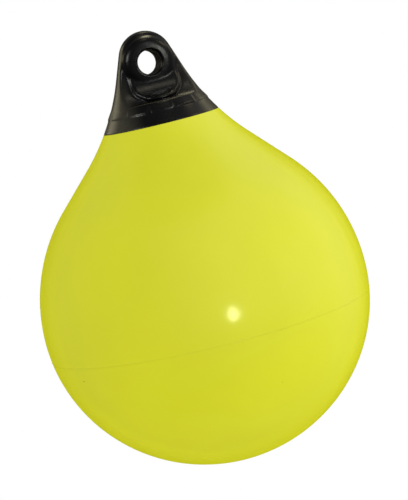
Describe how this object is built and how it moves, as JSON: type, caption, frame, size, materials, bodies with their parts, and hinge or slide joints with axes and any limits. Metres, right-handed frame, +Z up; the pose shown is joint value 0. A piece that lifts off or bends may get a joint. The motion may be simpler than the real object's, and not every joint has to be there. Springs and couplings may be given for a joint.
{
  "type": "inflatable net buoy",
  "caption": "Blown vinyl ball drawn up into a neck, with a moulded rope hold whose lug has a round rope eye, and a screwed air valve in its back.",
  "frame": {"origin": "centre of the rope eye, half way through the lug", "axes": "+Z up the buoy's axis away from the ball, Y along the eye's hole, front of the lug towards -Y, X across the lug"},
  "size_m": [0.37, 0.3698, 0.4934],
  "materials": {
    "float_vinyl": "smooth blown vinyl, lime yellow, with a soft sheen",
    "hold_vinyl": "solid moulded vinyl, black, satin to glossy",
    "valve_nylon": "moulded nylon, undyed",
    "seal_rubber": "plain black rubber"
  },
  "bodies": {
    "float": {"float_skin": "float_vinyl", "rope_hold": "hold_vinyl", "valve_seat": "valve_nylon"},
    "seal": {"valve_seal": "seal_rubber"},
    "plug": {"valve_plug": "valve_nylon"}
  },
  "joints": [
    {"name": "seal_rise", "type": "slide", "parent": "float", "child": "seal", "axis": [0, 0.6947, 0.7193], "range_m": [0, 0.0125]},
    {"name": "plug_turn", "type": "hinge", "parent": "seal", "child": "plug", "pos_m": [0, 0.02816, -0.03136], "axis": [0, 0.6947, 0.7193], "range_deg": [0, 1800]}
  ],
  "couplings": [
    {"joint": "plug_turn", "follows": "seal_rise", "rad_per_m": 2513.3}
  ]
}
